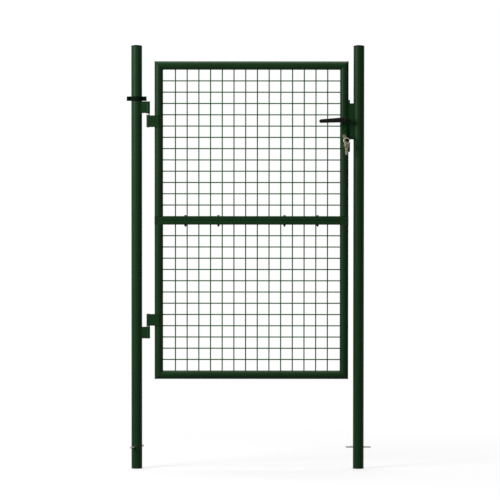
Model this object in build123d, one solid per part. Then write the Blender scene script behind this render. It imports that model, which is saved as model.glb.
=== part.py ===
from build123d import *
import os
from math import cos, sin, radians

# Welded mesh garden gate between two round posts.
# X runs from the hinge post to the latch post, +Y is the side the leaf opens to, +Z is up.
# The origin is on the axis of the hinge post, at its foot.

# Posts
post_dia = 48.0
post_wall = 1.5
post_height = 1880.0          # with the cap on
cap_rim = 4.0
cap_dome = 3.0
cap_plug_depth = 18.0
anchor_dia = 10.0
anchor_length = 110.0
anchor_height = 97.0
anchor_turn = 28.0            # the hinge post's rod points front to back, turned by this much

# Leaf: two equal frames bolted together
leaf_width = 860.0
leaf_height = 1410.0
post_over_leaf = 72.0         # the posts stand above the leaf by this much
hinge_gap = 55.0              # hinge post to leaf
latch_gap = 21.5              # leaf to latch post
frame_dia = 38.0
frame_wall = 1.5
meeting_rail_height = 19.0
meeting_rail_depth = 30.0
meeting_rail_wall = 1.5
wire_dia = 4.0
upright_pitch = 51.9
crosswire_pitch = 50.0
uprights = 14
crosswires = 12
bolt_offsets = (-293.0, -146.5, 146.5, 293.0)
bolt_dia = 6.0
bolt_clear = 0.2
hex_width = 10.0
bolt_head_height = 4.0
nut_height = 5.0
bolt_stub = 4.0

# Hinges
hinge_axis_x = 51.5
hinge_axis_y = -14.0
barrel_dia = 16.0
pin_dia = 10.0
pin_clear = 0.2
plate_thick = 3.0
hinge_plate_height = 52.0
barrel_reach = 1.5            # the barrel stands past its plate by this much
upper_leaf_plate_drop = 240.0     # leaf top down to the top of the plate
upper_plate_gap = 10.0
lower_leaf_plate_rise = 238.0     # leaf bottom up to the bottom of the plate
lower_plate_gap = 5.0
seat_gap = 0.1

# Clamp round the hinge post
clamp_height = 20.0
clamp_thick = 3.0
clamp_ear = 20.0
clamp_split = 2.0
clamp_drop = 156.0            # leaf top down to the top of the clamp
clamp_clear = 0.1
clamp_head_height = 3.3

# Lock
lever_drop = 259.0            # leaf top down to the lever's axis
lever_to_key = 75.0
forend_above = 88.0           # lever axis up to the top of the forend
forend_below = 142.0
forend_width = 24.0
forend_thick = 3.0
forend_proud = 6.0            # forend face beyond the stile
case_above = 62.0
case_below = 112.0
case_thick = 16.0
case_wall = 1.2
case_back = 14.5              # stile centre to the back of the case
fit_gap = 0.3
latch_above = 24.0            # lever axis up to the latch centre
latch_height = 18.0
latch_thick = 12.0
latch_throw = 12.0
latch_tail_height = 5.0
latch_tail_thick = 5.0
lug_thick = 3.0
lug_overlap = 0.5             # the lug reaches this far below the finger's highest centre
bolt_height = 24.0
bolt_thick = 10.0
bolt_throw = 14.0
bolt_over_key = 22.5          # key axis up to the dead bolt centre
bolt_notch = 3.4
bolt_back = 12.8              # stile centre to the dead bolt's back end
lever_travel = 40.0
key_travel = 150.0
spindle_side = 8.0
follower_dia = 15.0
follower_thick = 9.0
finger_reach = 17.5
finger_width = 5.0
cam_reach = 10.6
cam_tip = 4.6
cam_thick = 9.0
cylinder_round = 17.0
cylinder_foot = 10.0
cylinder_height = 33.0
cylinder_half = 30.0
plug_dia = 12.6
plug_clear = 0.2

# Handles
backplate_width = 22.0
backplate_above = 11.0         # its round top is hidden by the lever's root
backplate_below = 107.0
backplate_front = 24.5        # stile centre to the face of the backplate
plate_edge = 1.5
neck_dia = 18.0
neck_clear = 0.3
neck_length = 26.0
grip_thick = 11.5
grip_root = 22.0
grip_tip = 16.0
grip_length = 110.0
grip_droop = 5.5
grip_edge = 3.0
screw_dia = 4.0
screw_head = 8.0
screw_crown = 2.0

# Keys
key_thick = 2.2
key_blade_width = 7.5
key_blade_length = 24.5
key_shoulder = 9.0
bow_width = 29.0
bow_length = 28.0
bow_rim = 4.0
bow_hole = 11.0
key_slant = 45.0              # the key is left part turned, its bow slanting down to the right
bitting = (1.2, 2.4, 0.8, 2.0, 1.6)
bit_pitch = 3.2
ring_dia = 28.0
ring_wire = 2.0
ring_band = 3.6
ring_slack = 0.4
spare_angle = 11.0            # spare keys hang this far either side of the ring's lowest point
spare_room = 1.1              # lets the spare keys rock on the ring
spare_turn = 35.0

# Strike
strike_height = 160.0
strike_above = 73.0           # lever axis up to the top of the strike
strike_gap = 2.0
strike_thick = 3.0
strike_half = 13.0            # keep face, front to back of the leaf's mid plane
strike_lap = 1.0              # the flange laps the forend's front, so that the leaf stops on it
stop_gap = 0.5
strike_clear = 2.5

# Places worked out from the sizes above
post_r = post_dia / 2
frame_r = frame_dia / 2
leaf_left = post_r + hinge_gap
leaf_right = leaf_left + leaf_width
leaf_top = post_height - post_over_leaf
leaf_bottom = leaf_top - leaf_height
leaf_mid = leaf_bottom + leaf_height / 2
leaf_centre = (leaf_left + leaf_right) / 2
latch_post_x = leaf_right + latch_gap + post_r
stile_x = leaf_right - frame_r
post_tube_top = post_height - cap_rim - cap_dome
lever_z = leaf_top - lever_drop
key_z = lever_z - lever_to_key
latch_z = lever_z + latch_above
bolt_z = key_z + bolt_over_key
forend_face = leaf_right + forend_proud
forend_back = forend_face - forend_thick
case_front = stile_x - case_back
strike_x = forend_face + strike_gap
strike_top = lever_z + strike_above


def box(x0, x1, y0, y1, z0, z1):
    """A box between two corners."""
    return Pos((x0 + x1) / 2, (y0 + y1) / 2, (z0 + z1) / 2) * Box(x1 - x0, y1 - y0, z1 - z0)


def rod(start, end, dia):
    """A round bar from one point to another."""
    path = Vector(*end) - Vector(*start)
    face = Plane(origin=start, z_dir=path) * Circle(dia / 2)
    return extrude(face, amount=path.length, dir=path.normalized())


def wire(start, end, dia, flats=8):
    """A thin bar, or the hole for one, with flats to keep what repeats light."""
    path = Vector(*end) - Vector(*start)
    face = Plane(origin=start, z_dir=path) * RegularPolygon(dia / 2, flats)
    return extrude(face, amount=path.length, dir=path.normalized())


def tube(start, end, dia, wall):
    return rod(start, end, dia) - rod(start, end, dia - 2 * wall)


def prism_y(sketch, y0, y1):
    """Extrude a sketch drawn in X and Z from y0 to y1."""
    face = Plane(origin=(0, y0, 0), x_dir=(1, 0, 0), z_dir=(0, -1, 0)) * sketch
    return extrude(face, amount=y1 - y0, dir=(0, 1, 0))


def prism_z(sketch, z0, z1):
    return extrude(Pos(0, 0, z0) * sketch, amount=z1 - z0)


def front_and_back(piece):
    """The piece and its mirror image behind the leaf."""
    return [piece, piece.mirror(Plane.XZ)]


def hexagon(across_flats):
    return RegularPolygon(across_flats / 2, 6, major_radius=False)


def small_circle(radius):
    """A circle drawn round in sixteen flats, for bores and parts inside the lock."""
    return RegularPolygon(radius, 16, major_radius=False)


# Posts

def post(x, rod_start, rod_end):
    """An open-ended tube, cross-drilled for its anchor rod."""
    body = tube((x, 0, 0), (x, 0, post_tube_top), post_dia, post_wall)
    return body - wire(rod_start, rod_end, anchor_dia + 4 * seat_gap, 16)


def post_cap(x):
    """A plastic cap with a sloped shoulder and a plug that sits in the tube."""
    plug = wire((x, 0, post_tube_top - cap_plug_depth), (x, 0, post_tube_top),
                post_dia - 2 * post_wall - 2 * seat_gap, 32)
    top = wire((x, 0, post_tube_top), (x, 0, post_height), post_dia, 48)
    return plug + chamfer(top.faces().sort_by(Axis.Z)[-1].edges(), cap_dome)


def anchor_ends(x, turn):
    """Both ends of the rod through a post's foot, turned from front-to-back by an angle."""
    dx = -sin(radians(turn)) * anchor_length / 2
    dy = -cos(radians(turn)) * anchor_length / 2
    return (x + dx, dy, anchor_height), (x - dx, -dy, anchor_height)


# Clamp

def clamp_half(front):
    """Half a pipe clamp: a curved strap with an ear each side."""
    inner = post_r + clamp_clear
    outer = inner + clamp_thick
    z1 = leaf_top - clamp_drop
    z0 = z1 - clamp_height
    ear_y = clamp_split / 2 + clamp_thick
    reach = post_r + clamp_ear
    half = box(-reach, reach, -ear_y, -clamp_split / 2, z0, z1)
    half += prism_z(Circle(outer), z0, z1) & box(-outer, outer, -outer, -clamp_split / 2, z0, z1)
    half -= prism_z(Circle(inner), z0, z1)
    for side in (-1, 1):
        half -= clamp_bore(side, bolt_dia + 2 * bolt_clear)
    return half if front else half.mirror(Plane.XZ)


def clamp_bore(side, dia):
    x = side * (post_r + clamp_thick + (clamp_ear - clamp_thick) / 2)
    z = leaf_top - clamp_drop - clamp_height / 2
    y = clamp_split / 2 + clamp_thick
    return wire((x, -y, z), (x, y, z), dia)


def clamp_bolts():
    """A cup-headed bolt through each pair of ears, head behind and nut in front."""
    bolts = []
    z = leaf_top - clamp_drop - clamp_height / 2
    ear_y = clamp_split / 2 + clamp_thick
    for side in (-1, 1):
        x = side * (post_r + clamp_thick + (clamp_ear - clamp_thick) / 2)
        shank = wire((x, -ear_y - nut_height - bolt_stub / 2, z), (x, ear_y, z), bolt_dia)
        head = wire((x, ear_y, z), (x, ear_y + clamp_head_height, z), hex_width, 16)
        nut = prism_y(Pos(x, z) * hexagon(hex_width), -ear_y - nut_height, -ear_y)
        bolts.append(shank + head + nut)
    return bolts


# Hinges: the post's half is above the leaf's at the top hinge and below it at the bottom one

upper_leaf_z1 = leaf_top - upper_leaf_plate_drop
upper_leaf_z0 = upper_leaf_z1 - hinge_plate_height
upper_post_z0 = upper_leaf_z1 + upper_plate_gap
upper_post_z1 = upper_post_z0 + hinge_plate_height
lower_leaf_z0 = leaf_bottom + lower_leaf_plate_rise
lower_leaf_z1 = lower_leaf_z0 + hinge_plate_height
lower_post_z1 = lower_leaf_z0 - lower_plate_gap
lower_post_z0 = lower_post_z1 - hinge_plate_height


def barrel(z0, z1, bore_gap):
    axis0 = (hinge_axis_x, hinge_axis_y, z0)
    axis1 = (hinge_axis_x, hinge_axis_y, z1)
    return wire(axis0, axis1, barrel_dia, 32) - rod(axis0, axis1, pin_dia + 2 * bore_gap)


def pin_room(z0, z1, bore_gap):
    return rod((hinge_axis_x, hinge_axis_y, z0), (hinge_axis_x, hinge_axis_y, z1), pin_dia + 2 * bore_gap)


def post_plate(z0, z1, barrel_z0, barrel_z1):
    """A flat plate butted to the post, with its barrel on the plate's centre line."""
    y0 = hinge_axis_y - plate_thick / 2
    flat = box(post_r / 2, hinge_axis_x, y0, y0 + plate_thick, z0, z1)
    flat -= prism_z(Circle(post_r), z0, z1)
    return flat - pin_room(z0, z1, 0) + barrel(barrel_z0, barrel_z1, 0)


def leaf_plate(z0, z1, barrel_z0, barrel_z1):
    """A plate laid on the front of the stile, flush with the front of its barrel."""
    y1 = -frame_r
    flat = box(hinge_axis_x, leaf_left + frame_r, y1 - plate_thick, y1, z0, z1)
    return flat - pin_room(z0, z1, pin_clear) + barrel(barrel_z0, barrel_z1, pin_clear)


def hinge_pin(z0, z1):
    return rod((hinge_axis_x, hinge_axis_y, z0), (hinge_axis_x, hinge_axis_y, z1), pin_dia)


def hinge_spacer(z0, z1):
    axis0 = (hinge_axis_x, hinge_axis_y, z0 + seat_gap)
    axis1 = (hinge_axis_x, hinge_axis_y, z1 - seat_gap)
    return wire(axis0, axis1, barrel_dia - 2, 24) - wire(axis0, axis1, pin_dia + 4 * pin_clear, 24)


# Leaf frames

def in_outline(piece, corners):
    """Keep what lies inside an outline drawn in X and Z; this cuts the mitres."""
    outline = make_face(Polyline(*corners, close=True))
    return piece & prism_y(outline, -frame_dia, frame_dia)


def end_rail(z_outer, inward):
    """Top or bottom rail: a round tube mitred at both ends."""
    z = z_outer + inward * frame_r
    z_in = z_outer + inward * frame_dia
    bar = tube((leaf_left, 0, z), (leaf_right, 0, z), frame_dia, frame_wall)
    corners = [(leaf_left, z_outer), (leaf_right, z_outer),
               (leaf_right - frame_dia, z_in), (leaf_left + frame_dia, z_in)]
    return in_outline(bar, corners)


def stile(x_outer, side, z_outer, inward):
    """A side tube, mitred to the end rail and standing on the meeting rail."""
    x = x_outer + side * frame_r
    x_in = x_outer + side * frame_dia
    z_in = z_outer + inward * frame_dia
    z_end = leaf_mid - inward * meeting_rail_height
    bar = tube((x, 0, min(z_outer, z_end)), (x, 0, max(z_outer, z_end)), frame_dia, frame_wall)
    corners = [(x_outer, z_outer), (x_in, z_in), (x_in, z_end), (x_outer, z_end)]
    return in_outline(bar, corners)


def meeting_rail(up):
    """A flat rectangular tube, drilled for the joining bolts."""
    z0, z1 = sorted((leaf_mid, leaf_mid + up * meeting_rail_height))
    half = meeting_rail_depth / 2
    wall = meeting_rail_wall
    rail = box(leaf_left, leaf_right, -half, half, z0, z1)
    rail -= box(leaf_left, leaf_right, -half + wall, half - wall, z0 + wall, z1 - wall)
    for offset in bolt_offsets:
        x = leaf_centre + offset
        rail -= wire((x, 0, z0), (x, 0, z1), bolt_dia + 2 * bolt_clear)
    return rail


def joining_bolts():
    """Hex bolts down through both meeting rails."""
    top = leaf_mid + meeting_rail_height
    end = leaf_mid - meeting_rail_height - nut_height - bolt_stub
    bolts = []
    for offset in bolt_offsets:
        x = leaf_centre + offset
        head = prism_z(Pos(x, 0) * hexagon(hex_width), top, top + bolt_head_height)
        bolts.append(head + wire((x, 0, end), (x, 0, top), bolt_dia))
    return bolts


def joining_nuts():
    z1 = leaf_mid - meeting_rail_height
    nuts = []
    for offset in bolt_offsets:
        x = leaf_centre + offset
        blank = prism_z(Pos(x, 0) * hexagon(hex_width), z1 - nut_height, z1)
        nuts.append(blank - wire((x, 0, z1 - nut_height), (x, 0, z1), bolt_dia))
    return nuts


def mesh_panel(z0, z1):
    """Welded mesh: crosswires in front of uprights, each butted to the frame."""
    wires = []
    lay = wire_dia / 2
    x0 = leaf_left + frame_dia
    x1 = leaf_right - frame_dia
    for i in range(uprights):
        x = leaf_centre + (i - (uprights - 1) / 2) * upright_pitch
        wires.append(wire((x, lay, z0), (x, lay, z1), wire_dia))
    for i in range(crosswires):
        z = (z0 + z1) / 2 + (i - (crosswires - 1) / 2) * crosswire_pitch
        wires.append(wire((x0, -lay, z), (x1, -lay, z), wire_dia))
    return wires


# Lock

def euro_profile(gap=0.0):
    """The keyhole-shaped section of a profile cylinder, about its key axis."""
    foot_z = cylinder_round / 2 - cylinder_height + cylinder_foot / 2
    profile = small_circle(cylinder_round / 2 + gap)
    profile += Pos(0, foot_z / 2) * Rectangle(cylinder_foot + 2 * gap, -foot_z)
    return profile + Pos(0, foot_z) * small_circle(cylinder_foot / 2 + gap)


def at_lever(sketch):
    return Pos(stile_x, lever_z) * sketch


def at_key(sketch):
    return Pos(stile_x, key_z) * sketch


def lock_bores(y0, y1):
    """Room for the spindle's neck and the cylinder, front to back."""
    bores = prism_y(at_lever(small_circle(neck_dia / 2 + neck_clear)), y0, y1)
    return bores + prism_y(at_key(euro_profile(fit_gap)), y0, y1)


def lock_windows():
    """Square-cut windows in the stile for the neck and the cylinder, hidden by the backplates."""
    neck = neck_dia / 2 + neck_clear
    barrel_half = cylinder_round / 2 + fit_gap
    windows = box(stile_x - neck, stile_x + neck, -frame_r, frame_r, lever_z - neck, lever_z + neck)
    return windows + box(stile_x - barrel_half, stile_x + barrel_half, -frame_r, frame_r,
                         key_z + cylinder_round / 2 - cylinder_height - fit_gap, key_z + barrel_half)


case_z0 = lever_z - case_below
case_z1 = lever_z + case_above
slot_half = case_thick / 2 + fit_gap


def case_slot():
    """The slot that the case passes through, in the stile and in the saddle."""
    return box(stile_x, forend_face, -slot_half, slot_half, case_z0 - fit_gap, case_z1 + fit_gap)


def lock_saddle():
    """The welded rim that carries the forend off the round stile."""
    half = forend_width / 2
    rim = box(stile_x, forend_back, -half, half, lever_z - forend_below, lever_z + forend_above)
    rim -= rod((stile_x, 0, 0), (stile_x, 0, leaf_top), frame_dia)
    for z in forend_screw_heights():
        rim -= wire((stile_x, 0, z), (forend_back, 0, z), screw_dia)
    return rim - case_slot()


def forend_screw_heights():
    inset = 11.0
    return lever_z - forend_below + inset, lever_z + forend_above - inset


def forend():
    """The face plate, pierced for the latch, the dead bolt and two countersunk screws."""
    half = forend_width / 2
    plate = box(forend_back, forend_face, -half, half, lever_z - forend_below, lever_z + forend_above)
    for y, height, z in ((latch_thick, latch_height, latch_z), (bolt_thick, bolt_height, bolt_z)):
        plate -= box(forend_back, forend_face, -y / 2 - fit_gap, y / 2 + fit_gap,
                     z - height / 2 - fit_gap, z + height / 2 + fit_gap)
    for z in forend_screw_heights():
        plate -= countersunk_screw(z)
    return plate


def countersunk_screw(z):
    """A countersunk screw into the saddle, flush with the forend."""
    sink = (screw_head - screw_dia) / 2
    axis = Plane(origin=(forend_face, 0, z), x_dir=(0, 1, 0), z_dir=(-1, 0, 0))
    head = loft([axis * RegularPolygon(screw_head / 2, 8), axis.offset(sink) * RegularPolygon(screw_dia / 2, 8)])
    tip = stile_x + frame_r - 1.0
    return head + wire((forend_face - sink, 0, z), (tip, 0, z), screw_dia)


def lock_case():
    """A sheet box, open to the forend, with room for the mechanism."""
    half = case_thick / 2
    case = box(case_front, forend_back, -half, half, case_z0, case_z1)
    case -= box(case_front + case_wall, forend_back, -half + case_wall, half - case_wall,
                case_z0 + case_wall, case_z1 - case_wall)
    return case - lock_bores(-half, half)


def latch_bolt():
    """Bevelled latch with a tail and the lug that the follower's finger pushes."""
    tip = forend_face + latch_throw - 0.5
    half = latch_thick / 2
    back = stile_x + finger_reach * sin(radians(lever_travel / 2)) + finger_width
    nose = make_face(Polyline((back, -half), (forend_face + 1.5, -half), (tip, half - 2.5),
                              (tip, half), (back, half), close=True))
    head = prism_z(nose, latch_z - latch_height / 2, latch_z + latch_height / 2)
    lug_face = stile_x + finger_reach * sin(radians(lever_travel / 2)) - finger_width / 2 - fit_gap
    tail_z = lever_z + finger_reach + finger_width / 2 + 1.0
    tail = box(lug_face - lug_thick, back, -latch_tail_thick / 2, latch_tail_thick / 2,
               tail_z, tail_z + latch_tail_height)
    lug = box(lug_face - lug_thick, lug_face, -latch_tail_thick / 2, latch_tail_thick / 2,
              lever_z + finger_reach - lug_overlap, tail_z + latch_tail_height)
    return head + tail + lug


def follower():
    """The hub on the spindle, with a round-ended finger that starts to the latch side."""
    turn = lever_travel / 2
    finger = Rot(0, 0, -turn) * (Pos(0, finger_reach / 2) * Rectangle(finger_width, finger_reach)
                                 + Pos(0, finger_reach) * small_circle(finger_width / 2))
    outline = small_circle(follower_dia / 2) + finger - Rectangle(spindle_side, spindle_side)
    return prism_y(at_lever(outline), -follower_thick / 2, follower_thick / 2)


def dead_bolt():
    """A square bolt, retracted at rest, cut away behind for the cylinder's cam."""
    half = bolt_thick / 2
    z0 = bolt_z - bolt_height / 2
    bolt = box(stile_x - bolt_back, forend_face - fit_gap, -half, half, z0, z0 + bolt_height)
    return bolt - box(stile_x - bolt_back, stile_x + 0.5, -half, half, z0, z0 + bolt_notch)


def cylinder():
    """Profile cylinder, bored for the front plug and gapped for the cam."""
    body = prism_y(at_key(euro_profile()), -cylinder_half, cylinder_half)
    bore = Circle(plug_dia / 2 + plug_clear)
    body -= prism_y(at_key(bore), -cylinder_half, 0)
    gap = cam_thick / 2 + fit_gap
    return body - box(stile_x - cylinder_round, stile_x + cylinder_round, -gap, gap,
                      key_z - cylinder_round / 2 - fit_gap, key_z + cylinder_round)


def key_plane_sketch(sketch):
    """Turn a sketch drawn in X and Z to the slant that the key is left at."""
    return at_key(Rot(0, 0, -key_slant) * sketch)


def cylinder_plug():
    """The turning barrel with its keyway."""
    plug = Circle(plug_dia / 2) - Rectangle(key_blade_width + 2 * fit_gap, key_thick + 2 * fit_gap)
    return prism_y(key_plane_sketch(plug), -cylinder_half, -cam_thick / 2 - fit_gap)


def cylinder_cam():
    """The cam in the middle of the cylinder that throws the dead bolt."""
    nose = Rot(0, 0, key_travel / 2) * (Pos(0, cam_reach / 2) * Rectangle(cam_tip, cam_reach)
                                        + Pos(0, cam_reach) * small_circle(cam_tip / 2))
    outline = small_circle(cylinder_round / 2 - fit_gap) + nose
    return prism_y(at_key(outline), -cam_thick / 2, cam_thick / 2)


def cylinder_screw():
    """The long screw from the forend into the cylinder's foot."""
    z = key_z - 2 * cylinder_foot + 2.0
    return wire((stile_x + cylinder_foot / 2, 0, z), (forend_face, 0, z), screw_dia)


# Handles

def backplate():
    """A narrow plate, hollowed behind to sit on the round stile."""
    z0 = lever_z - backplate_below
    height = backplate_above + backplate_below
    end = RegularPolygon(backplate_width / 2, 24)
    inset = height / 2 - backplate_width / 2
    ends = (Pos(0, inset) * end).edges() + (Pos(0, -inset) * end).edges()
    plate = prism_y(Pos(stile_x, z0 + height / 2) * make_hull(ends), -backplate_front, -frame_r / 2)
    plate = chamfer(plate.faces().sort_by(Axis.Y)[0].edges(), plate_edge)
    plate -= rod((stile_x, 0, z0), (stile_x, 0, z0 + height), frame_dia)
    plate -= lock_bores(-backplate_front, 0)
    for z in backplate_screw_heights():
        plate -= wire((stile_x, -backplate_front, z), (stile_x, 0, z), screw_dia)
    return plate


def backplate_screw_heights():
    return lever_z - 20.0, lever_z - 50.0


def backplate_screws():
    """Pan-headed screws into the wall of the stile."""
    screws = []
    for z in backplate_screw_heights():
        shank = wire((stile_x, -backplate_front, z), (stile_x, -frame_r + 4.0, z), screw_dia)
        head = wire((stile_x, -backplate_front - screw_crown, z), (stile_x, -backplate_front, z), screw_head, 12)
        crowned = chamfer(head.faces().sort_by(Axis.Y)[0].edges(), screw_crown / 2)
        screws += front_and_back(crowned + shank)
    return screws


def screw_holes_in_stile():
    holes = [wire((stile_x, -frame_r, z), (stile_x, frame_r, z), screw_dia) for z in backplate_screw_heights()]
    return holes + [countersunk_screw(z) for z in forend_screw_heights()]


def lever():
    """A tapered lever on a round neck: its front outline is the hull of two circles."""
    y1 = -backplate_front - neck_length
    y0 = y1 - grip_thick
    tip_x = -(grip_length - grip_tip / 2)
    root = RegularPolygon(grip_root / 2, 24)
    tip = Pos(tip_x, -grip_droop) * RegularPolygon(grip_tip / 2, 24)
    outline = at_lever(make_hull(root.edges() + tip.edges()))
    grip = prism_y(outline, y0, y1)
    ends = grip.faces().sort_by(Axis.Y)
    grip = chamfer(ends[0].edges() + ends[-1].edges(), grip_edge)
    neck = prism_y(at_lever(Circle(neck_dia / 2)), y1 - 2.0, -frame_r)
    return grip + neck - spindle(0.1)


def spindle(gap=0.0):
    """The square bar that both levers and the follower sit on."""
    reach = backplate_front + neck_length - 4.0
    side = spindle_side + 2 * gap
    return prism_y(at_lever(Rectangle(side, side)), -reach - gap, reach + gap)


# Keys: drawn in a plane, blade along -V and bow at the top, then set in place

def key_outline():
    """A key with a stirrup bow: a rounded bow, a slotted hole, a shoulder and a cut blade."""
    blade_half = key_blade_width / 2
    bow = Pos(0, -bow_length / 2) * RectangleRounded(bow_width, bow_length, 6.0)
    hole = Pos(0, -bow_length / 2) * RectangleRounded(bow_width - 2 * bow_rim, bow_hole, bow_hole / 2 - 0.1)
    neck = Pos(0, -bow_length - key_shoulder / 2 + 1) * Rectangle(key_blade_width + 3, key_shoulder + 2)
    top = -bow_length - key_shoulder
    points = [(-blade_half, top), (blade_half, top)]
    for i, depth in enumerate(bitting):
        v = top - bit_pitch * (i + 1)
        points += [(blade_half, v), (blade_half - depth, v - 1.2), (blade_half - depth, v - 2.0)]
    end = top - key_blade_length
    points += [(blade_half - bitting[0], end + 2.0), (0.0, end), (-blade_half, end + 3.0)]
    return bow - hole + neck + make_face(Polyline(*points, close=True))


def bow_to_bar():
    """Bow's outer bar from its centre line, across the key."""
    return (bow_width - bow_rim) / 2


def key_in_lock():
    """The key in the plug: its bow stands out in front, slanting down to the right."""
    slant = radians(key_slant)
    across = (cos(slant), 0, -sin(slant))
    face_y = -cylinder_half - key_shoulder - bow_length
    plane = Plane(origin=(stile_x, face_y, key_z), x_dir=across, z_dir=Vector(*across).cross(Vector(0, -1, 0)))
    return extrude(plane * key_outline(), amount=key_thick / 2, both=True)


ring_inner = ring_dia / 2 - ring_wire
bar_x = stile_x + bow_to_bar() * cos(radians(key_slant))
bar_z = key_z - bow_to_bar() * sin(radians(key_slant))
bar_half_diagonal = (bow_rim ** 2 + key_thick ** 2) ** 0.5 / 2
ring_y = -cylinder_half - key_shoulder - bow_length / 2
ring_z = bar_z - (ring_inner - bar_half_diagonal - ring_slack)


def key_ring():
    """A flat ring round the bow's lower bar."""
    outline = RegularPolygon(ring_dia / 2, 40) - RegularPolygon(ring_inner, 40)
    return prism_y(Pos(bar_x, ring_z) * outline, ring_y - ring_band / 2, ring_y + ring_band / 2)


def spare_key(side):
    """A spare key hanging from the ring by its bow."""
    angle = radians(side * spare_angle)
    mean = ring_dia / 2 - ring_wire / 2
    rim = (bow_length - bow_hole) / 2
    x = bar_x + mean * sin(angle)
    z = ring_z - mean * cos(angle) + ring_wire / 2 + spare_room + rim
    turn = radians(spare_turn)
    plane = Plane(origin=(x, ring_y, z), x_dir=(sin(turn), cos(turn), 0), z_dir=(cos(turn), -sin(turn), 0))
    return extrude(plane * key_outline(), amount=key_thick / 2, both=True)


# Strike

def strike_plate():
    """An angle welded to the latch post: keep face towards the forend, flange lapping it in front."""
    z1 = strike_top
    z0 = z1 - strike_height
    half = strike_half
    flange = -forend_width / 2 - stop_gap
    angle = box(strike_x, strike_x + strike_thick, flange, half, z0, z1)
    angle += box(forend_face - strike_lap, latch_post_x, flange - strike_thick, flange, z0, z1)
    angle -= rod((latch_post_x, 0, z0), (latch_post_x, 0, z1), post_dia)
    angle -= box(strike_x, strike_x + strike_thick, -latch_thick / 2 - strike_clear, half,
                 latch_z - latch_height / 2 - strike_clear, latch_z + latch_height / 2 + strike_clear)
    angle -= box(strike_x, strike_x + strike_thick, -latch_thick / 2 - strike_clear,
                 bolt_thick / 2 + strike_clear, bolt_z - bolt_height / 2 - strike_clear,
                 bolt_z + bolt_height / 2 + strike_clear)
    return angle


def build():
    hinge_rod = anchor_ends(0, anchor_turn)
    latch_rod = anchor_ends(latch_post_x, 90)
    lock_stile = stile(leaf_right, -1, leaf_top, -1) - case_slot() - lock_windows()
    front_plate = backplate()
    front_lever = lever()
    return {
        "hinge_post": post(0, *hinge_rod),
        "latch_post": post(latch_post_x, *latch_rod),
        "hinge_post_cap": post_cap(0),
        "latch_post_cap": post_cap(latch_post_x),
        "hinge_post_anchor_rod": rod(*hinge_rod, anchor_dia),
        "latch_post_anchor_rod": rod(*latch_rod, anchor_dia),
        "clamp_front": clamp_half(True),
        "clamp_rear": clamp_half(False),
        "clamp_bolts": clamp_bolts(),
        "upper_hinge_post_plate": post_plate(upper_post_z0, upper_post_z1,
                                             upper_post_z0 - barrel_reach, upper_post_z1),
        "lower_hinge_post_plate": post_plate(lower_post_z0, lower_post_z1,
                                             lower_post_z0, lower_post_z1 + barrel_reach),
        "upper_hinge_pin": hinge_pin(upper_leaf_z0 - 2, upper_post_z1),
        "lower_hinge_pin": hinge_pin(lower_post_z0, lower_leaf_z1 + 2),
        "upper_hinge_spacer": hinge_spacer(upper_leaf_z1 + barrel_reach, upper_post_z0 - barrel_reach),
        "lower_hinge_washer": hinge_spacer(lower_post_z1 + barrel_reach, lower_leaf_z0 - barrel_reach),
        "strike_plate": strike_plate(),
        "top_rail": end_rail(leaf_top, -1),
        "bottom_rail": end_rail(leaf_bottom, 1),
        "upper_hinge_stile": stile(leaf_left, 1, leaf_top, -1),
        "upper_latch_stile": lock_stile - screw_holes_in_stile(),
        "lower_hinge_stile": stile(leaf_left, 1, leaf_bottom, 1),
        "lower_latch_stile": stile(leaf_right, -1, leaf_bottom, 1),
        "upper_meeting_rail": meeting_rail(1),
        "lower_meeting_rail": meeting_rail(-1),
        "upper_mesh": mesh_panel(leaf_mid + meeting_rail_height, leaf_top - frame_dia),
        "lower_mesh": mesh_panel(leaf_bottom + frame_dia, leaf_mid - meeting_rail_height),
        "joining_bolts": joining_bolts(),
        "joining_nuts": joining_nuts(),
        "upper_hinge_leaf_plate": leaf_plate(upper_leaf_z0, upper_leaf_z1,
                                             upper_leaf_z0, upper_leaf_z1 + barrel_reach),
        "lower_hinge_leaf_plate": leaf_plate(lower_leaf_z0, lower_leaf_z1,
                                             lower_leaf_z0 - barrel_reach, lower_leaf_z1),
        "lock_saddle": lock_saddle(),
        "lock_case": lock_case(),
        "forend": forend() - cylinder_screw(),
        "forend_screws": [countersunk_screw(z) for z in forend_screw_heights()],
        "cylinder": cylinder(),
        "cylinder_screw": cylinder_screw(),
        "front_backplate": front_plate,
        "rear_backplate": front_plate.mirror(Plane.XZ),
        "backplate_screws": backplate_screws(),
        "front_lever": front_lever,
        "rear_lever": front_lever.mirror(Plane.XZ),
        "spindle": spindle(),
        "follower": follower(),
        "latch_bolt": latch_bolt(),
        "dead_bolt": dead_bolt(),
        "key": key_in_lock(),
        "cylinder_plug": cylinder_plug(),
        "cylinder_cam": cylinder_cam(),
        "key_ring": key_ring(),
        "spare_key_left": spare_key(-1),
        "spare_key_right": spare_key(1),
    }


os.makedirs("parts", exist_ok=True)
for name, piece in build().items():
    if isinstance(piece, list):
        piece = Compound(children=piece)
    piece.label = name
    export_step(piece, f"parts/{name}.step")
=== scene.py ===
import bpy
import bmesh
from math import asin, atan2, ceil, cos, hypot, pi, radians, sin, sqrt
from mathutils import Matrix, Vector


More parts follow.
